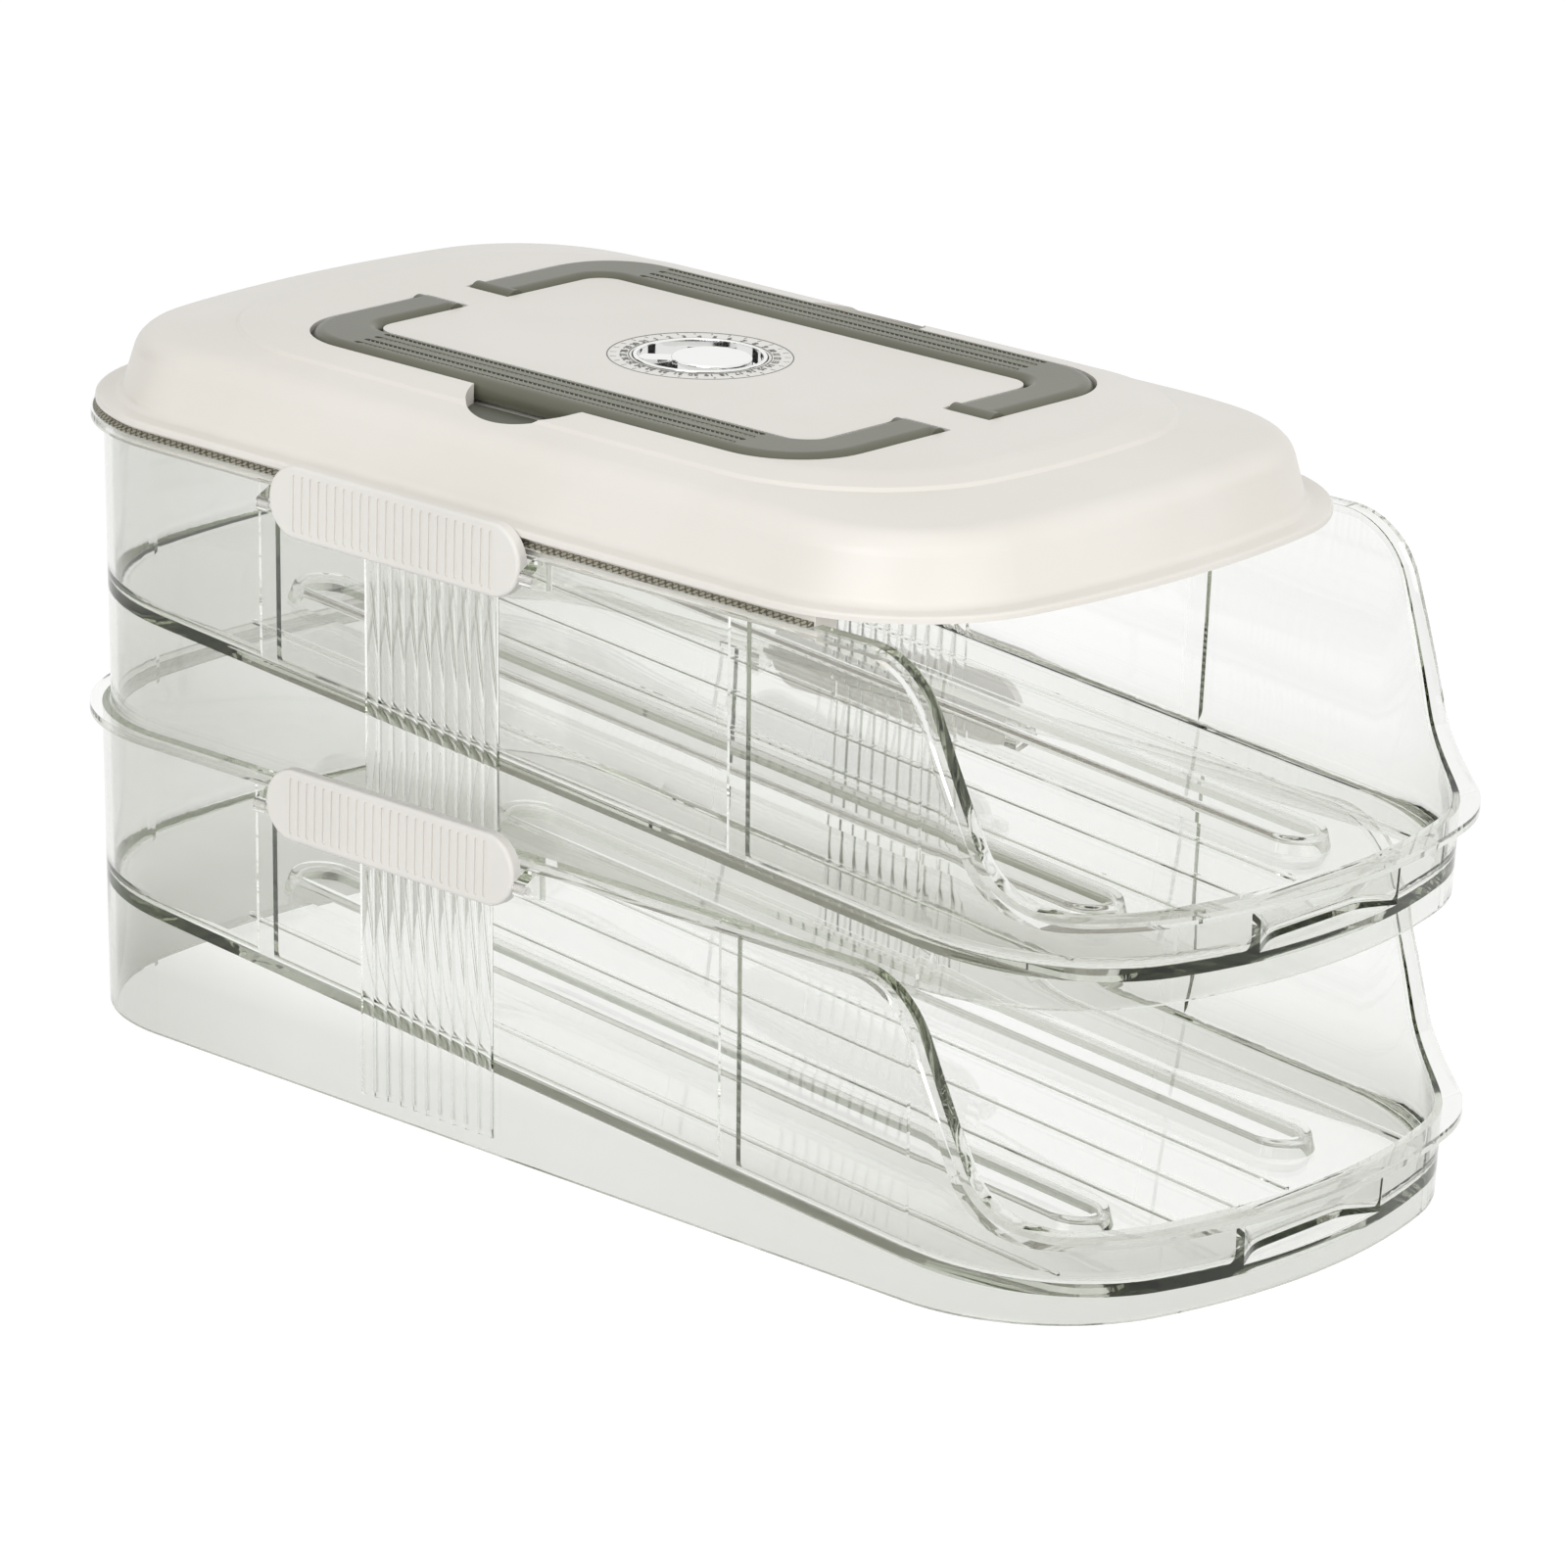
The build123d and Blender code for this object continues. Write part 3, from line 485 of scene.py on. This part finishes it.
def add_notch_floor(side, sign, material):
    """Half-moon plate on the floor of a finger notch, crowned a little, beside a handle's bar, dark grey
    as painted shade in the notch.
    """
    vertices = []
    faces = []
    reach = notch_arc_radius - notch_gap
    inner_x = bail_outer_x + notch_bar_gap
    limit = math.acos((inner_x - notch_arc_x) / reach)
    for level in (0, 1):
        for row in range(notch_rows + 1):
            angle = -limit + 2 * limit * row / notch_rows
            outer = Vector((notch_arc_x + reach * math.cos(angle), reach * math.sin(angle)))
            for column in range(notch_columns + 1):
                share = column / notch_columns
                x = inner_x + (outer.x - inner_x) * share
                crown = notch_crown * math.sin(math.pi * share) * math.cos(angle * math.pi / (2 * limit))
                z = notch_floor_top + (notch_thickness + crown) * level
                vertices.append((sign * x, lid_middle_y + outer.y, z))
    ring = notch_columns + 1
    layer = (notch_rows + 1) * ring
    for row in range(notch_rows):
        for column in range(notch_columns):
            near = row * ring + column
            far = near + ring
            faces.append((layer + near, layer + near + 1, layer + far + 1, layer + far))
            faces.append((near, far, far + 1, near + 1))
    for row in range(notch_rows):
        for column in (0, notch_columns):
            near = row * ring + column
            far = near + ring
            side_face = (near, far, layer + far, layer + near)
            faces.append(side_face if column else (far, near, layer + near, layer + far))
    if sign < 0:
        faces = [tuple(reversed(face)) for face in faces]
    add_piece("notch_floor_" + side, vertices, faces, (material,), "lid_body")


def add_day_figures(material):
    """Small figures 1 to 31 round the dial, and fine dark lines at the plate's two edges that paint the
    shade in the gaps there.
    """
    vertices = []
    faces = []
    for day in range(1, day_count + 1):
        text = bpy.data.curves.new("day", "FONT")
        text.body = str(day)
        text.size = figure_size
        text.align_x = "CENTER"
        text.align_y = "CENTER"
        text.extrude = figure_thickness
        text.resolution_u = 3
        glyph = bpy.data.objects.new("day", text)
        bpy.context.scene.collection.objects.link(glyph)
        mesh = bpy.data.meshes.new_from_object(glyph)
        bpy.data.objects.remove(glyph)
        bpy.data.curves.remove(text)
        angle = math.pi / 2 - 2 * math.pi * day / day_count
        outward = Vector((math.cos(angle), math.sin(angle), 0))
        along = Vector((outward.y, -outward.x, 0))
        middle = Vector((0, lid_middle_y, deck_top + figure_thickness + figure_lift))
        place = middle + outward * figure_radius
        first = len(vertices)
        for vertex in mesh.vertices:
            point = place + along * vertex.co.x + outward * vertex.co.y
            vertices.append((point.x, point.y, point.z + vertex.co.z))
        for polygon in mesh.polygons:
            faces.append(tuple(first + corner for corner in polygon.vertices))
        bpy.data.meshes.remove(mesh)
    # Dark rings at the plate's outer and inner edges: painted shade in the gaps
    for radius in (plate_radius - line_width, well_radius + 2 * line_width):
        first = len(vertices)
        outer_radius = radius + line_width
        for step in range(line_steps):
            angle = 2 * math.pi * step / line_steps
            way = Vector((math.cos(angle), math.sin(angle)))
            for reach, lift in ((radius, 0), (radius, 1), (outer_radius, 1), (outer_radius, 0)):
                z = deck_top + figure_lift * (lift + 0.5)
                vertices.append((way.x * reach, lid_middle_y + way.y * reach, z))
        for step in range(line_steps):
            here = first + step * 4
            there = first + (step + 1) % line_steps * 4
            for corner in range(4):
                after = (corner + 1) % 4
                faces.append((here + corner, there + corner, there + after, here + after))
    add_piece("day_figures", vertices, faces, (material,), "lid_body")


def add_dark_cards():
    """Dark cards that only reflections see, so that bright metal has something dark to show."""
    camera_side = math.radians(camera_azimuth - 90)
    nodes = Nodes("dark_card")
    nodes.shader.inputs["Base Color"].default_value = card_colour
    nodes.shader.inputs["Roughness"].default_value = 1.0
    for number, (start, end) in enumerate(card_turns):
        vertices = []
        for step in range(card_steps + 1):
            turn = camera_side + math.radians(start + (end - start) * step / card_steps)
            x = card_distance * math.cos(turn)
            y = lid_middle_y + card_distance * math.sin(turn)
            for z in (card_bottom, card_top):
                vertices.append((x, y, z))
        faces = [(2 * step, 2 * step + 2, 2 * step + 3, 2 * step + 1) for step in range(card_steps)]
        mesh = bpy.data.meshes.new("dark_card")
        mesh.from_pydata(vertices, [], faces)
        mesh.materials.append(nodes.material)
        card = bpy.data.objects.new(f"dark_card_{number}", mesh)
        bpy.context.scene.collection.objects.link(card)
        card.visible_camera = False
        card.visible_diffuse = False
        card.visible_transmission = False
        card.visible_volume_scatter = False
        card.visible_shadow = False


def paint(node, material):
    """A carried-over node gets a material."""
    mesh = frame["nodes"][node].data
    mesh.materials.clear()
    mesh.materials.append(material)


def set_world():
    """White surroundings for the camera, metal and clear plastic, softer light on the rest."""
    world = bpy.data.worlds.new("studio")
    bpy.context.scene.world = world
    world.use_nodes = True
    tree = world.node_tree
    tree.nodes.clear()
    output = tree.nodes.new("ShaderNodeOutputWorld")
    light_path = tree.nodes.new("ShaderNodeLightPath")
    seen = tree.nodes.new("ShaderNodeMath")
    seen.operation = "MAXIMUM"
    through = tree.nodes.new("ShaderNodeMath")
    through.operation = "MAXIMUM"
    white = tree.nodes.new("ShaderNodeBackground")
    white.inputs["Color"].default_value = (1, 1, 1, 1)
    white.inputs["Strength"].default_value = white_strength
    soft = tree.nodes.new("ShaderNodeBackground")
    soft.inputs["Color"].default_value = soft_colour
    soft.inputs["Strength"].default_value = soft_strength
    mix = tree.nodes.new("ShaderNodeMixShader")
    tree.links.new(light_path.outputs["Is Camera Ray"], seen.inputs[0])
    tree.links.new(light_path.outputs["Is Transmission Ray"], seen.inputs[1])
    tree.links.new(seen.outputs[0], through.inputs[0])
    tree.links.new(light_path.outputs["Is Glossy Ray"], through.inputs[1])
    tree.links.new(through.outputs[0], mix.inputs["Fac"])
    tree.links.new(soft.outputs[0], mix.inputs[1])
    tree.links.new(white.outputs[0], mix.inputs[2])
    tree.links.new(mix.outputs[0], output.inputs["Surface"])


def add_lamp(name, place, target, size, power):
    """Soft square lamp that looks at a point."""
    light = bpy.data.lights.new(name, "AREA")
    light.shape = "SQUARE"
    light.size = size
    light.energy = power
    lamp = bpy.data.objects.new(name, light)
    lamp.location = place
    lamp.rotation_euler = (Vector(target) - Vector(place)).to_track_quat("-Z", "Y").to_euler()
    bpy.context.scene.collection.objects.link(lamp)
    return lamp


def add_floor():
    """Pale floor that shows white to the camera and keeps the object's shadow."""
    half = floor_size / 2
    mesh = bpy.data.meshes.new("floor")
    mesh.from_pydata(
        [(-half, -half, 0), (half, -half, 0), (half, half, 0), (-half, half, 0)], [], [(0, 1, 2, 3)]
    )
    floor = bpy.data.objects.new("floor", mesh)
    floor.location.z = -floor_drop
    bpy.context.scene.collection.objects.link(floor)
    nodes = Nodes("floor")
    nodes.tree.nodes.remove(nodes.shader)
    light_path = nodes.add("ShaderNodeLightPath")
    seen = nodes.add("ShaderNodeMath", operation="MAXIMUM")
    white = nodes.add("ShaderNodeMath", operation="MAXIMUM")
    plain = nodes.add("ShaderNodeBsdfDiffuse")
    plain.inputs["Color"].default_value = floor_colour
    shaded = nodes.add("ShaderNodeBsdfDiffuse")
    shaded.inputs["Color"].default_value = floor_share
    glow = nodes.add("ShaderNodeEmission")
    glow.inputs["Strength"].default_value = floor_glow
    both = nodes.add("ShaderNodeAddShader")
    mix = nodes.add("ShaderNodeMixShader")
    nodes.link(light_path, "Is Camera Ray", seen, 0)
    nodes.link(light_path, "Is Transmission Ray", seen, 1)
    nodes.link(seen, 0, white, 0)
    nodes.link(light_path, "Is Glossy Ray", white, 1)
    nodes.link(shaded, 0, both, 0)
    nodes.link(glow, 0, both, 1)
    nodes.link(white, 0, mix, 0)
    nodes.link(plain, 0, mix, 1)
    nodes.link(both, 0, mix, 2)
    nodes.link(mix, 0, nodes.output, "Surface")
    mesh.materials.append(nodes.material)


set_camera()
set_world()
add_floor()
add_dark_cards()
add_lamp("key", *key_lamp)
fill = add_lamp("fill", *fill_lamp)
fill.visible_glossy = False
add_lamp("top", *top_lamp)

slot_materials = {
    "clear_plastic": clear_plastic("clear_tray"),
    "cream_plastic": moulded_plastic("cream_lid"),
    "grey_plastic": moulded_plastic("grey_handle"),
    "white_plastic": moulded_plastic("white_clip"),
    "chrome": metal("chrome"),
    "silver": metal("silver_plate"),
    "steel": metal("steel_pin"),
}
for entry in frame["record"]["subparts"]:
    paint(entry["node"], slot_materials[entry["material_slot"]])
for tray in ("lower_tray", "upper_tray"):
    frame["nodes"][tray].visible_shadow = False

# Dark strip that paints the shadow under the lid's flange, with painted highlights on its knurl
add_seal(moulded_plastic("painted_flange_shadow"), moulded_plastic("painted_knurl_highlight"))
grip_highlight_material = moulded_plastic("grip_rib_highlight")
notch_shade_material = moulded_plastic("notch_painted_shade")
for side, sign in (("left", -1), ("right", 1)):
    add_grip_ribs(side, sign, grip_highlight_material)
    add_notch_floor(side, sign, notch_shade_material)
add_day_figures(moulded_plastic("figure_print_and_gap_shade"))

bpy.context.scene.view_settings.view_transform = "Standard"
cycles = bpy.context.scene.cycles
cycles.max_bounces = light_bounces
cycles.transmission_bounces = light_bounces
cycles.glossy_bounces = light_bounces
